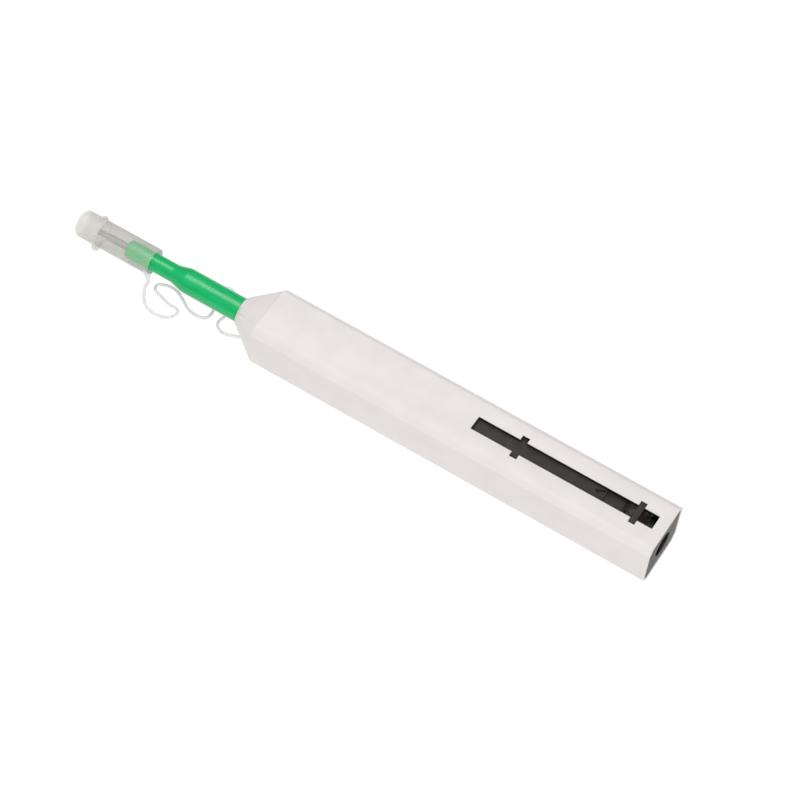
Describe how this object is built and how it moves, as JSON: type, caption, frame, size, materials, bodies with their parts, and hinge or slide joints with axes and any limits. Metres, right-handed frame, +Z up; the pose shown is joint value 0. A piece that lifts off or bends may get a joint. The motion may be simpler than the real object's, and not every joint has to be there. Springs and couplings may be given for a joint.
{
  "type": "fibre connector cleaning pen",
  "caption": "Click-type cleaning pen for fibre connectors, with a slotted white body, green nozzle, frosted cap with a pull-off lid and a thin leash to the nose.",
  "frame": {"origin": "on the flat base, below the middle of the pen's length with its cap and lid on", "axes": "+X from the lid to the rear end plate, +Z up through the slotted face, -Y to the near side"},
  "size_m": [0.2034, 0.0222, 0.018],
  "materials": {
    "shell_white": "satin moulded",
    "black_plastic": "fine matt",
    "copper_wire": "copper-coloured drawn wire",
    "inner_plastic": "moulded",
    "green_plastic": "smooth moulded",
    "steel": "drawn",
    "gear_plastic": "acetal",
    "thread": "fine spun thread",
    "frosted_plastic": "frosted soft plastic",
    "leash_plastic": "smooth soft plastic"
  },
  "bodies": {
    "housing": {"housing": "shell_white", "end_plate": "black_plastic", "drive_rack": "black_plastic", "return_spring": "copper_wire", "leash": "leash_plastic", "leash_knot": "leash_plastic"},
    "carriage": {"carriage_near_half": "inner_plastic", "carriage_far_half": "inner_plastic", "spring_guide": "inner_plastic", "nozzle": "green_plastic", "tip_guide": "inner_plastic", "take_up_axle": "steel", "supply_axle": "steel", "holding_pawl": "gear_plastic", "thread_guide": "inner_plastic", "used_strand": "thread", "new_strand": "thread", "tip_spring": "steel"},
    "drive_gear": {"drive_gear": "gear_plastic"},
    "take_up": {"take_up_reel": "gear_plastic", "used_thread_roll": "thread"},
    "supply": {"supply_reel": "gear_plastic", "new_thread_roll": "thread"},
    "barrel": {"cam_barrel": "gear_plastic"},
    "tip": {"tip_tube": "steel", "tip_collar": "gear_plastic", "cleaning_tip": "gear_plastic"},
    "cap": {"cap": "frosted_plastic"},
    "lid": {"cap_lid": "frosted_plastic"}
  },
  "joints": [
    {"name": "carriage_slide", "type": "slide", "parent": "housing", "child": "carriage", "axis": [1, 0, 0], "range_m": [0, 0.008], "stiffness_N_per_m": 250, "springref_m": -0.01, "deforming": ["return_spring"]},
    {"name": "gear_spin", "type": "hinge", "parent": "carriage", "child": "drive_gear", "pos_m": [0.0567, 0, 0.009], "axis": [0, -1, 0], "range_deg": [0, 90]},
    {"name": "take_up_spin", "type": "hinge", "parent": "carriage", "child": "take_up", "pos_m": [0.0567, 0, 0.009], "axis": [0, -1, 0], "range_deg": [0, 90]},
    {"name": "supply_spin", "type": "hinge", "parent": "carriage", "child": "supply", "pos_m": [0.0427, 0, 0.009], "axis": [0, -1, 0], "range_deg": [0, 62]},
    {"name": "barrel_turn", "type": "hinge", "parent": "carriage", "child": "barrel", "pos_m": [0.0189, 0, 0.009], "axis": [1, 0, 0], "range_deg": [0, 180.1]},
    {"name": "tip_press", "type": "slide", "parent": "barrel", "child": "tip", "axis": [1, 0, 0], "range_m": [0, 0.0015], "stiffness_N_per_m": 400, "springref_m": -0.002, "deforming": ["tip_spring"]},
    {"name": "cap_pull", "type": "slide", "parent": "carriage", "child": "cap", "axis": [-1, 0, 0], "range_m": [0, 0.03]},
    {"name": "lid_pull", "type": "slide", "parent": "cap", "child": "lid", "axis": [-1, 0, 0], "range_m": [0, 0.01]}
  ],
  "couplings": [
    {"joint": "gear_spin", "follows": "carriage_slide", "rad_per_m": 196.08},
    {"joint": "take_up_spin", "follows": "carriage_slide", "rad_per_m": 196.08},
    {"joint": "supply_spin", "follows": "carriage_slide", "rad_per_m": 134.8},
    {"joint": "barrel_turn", "follows": "carriage_slide", "rad_per_m": 392.7}
  ]
}
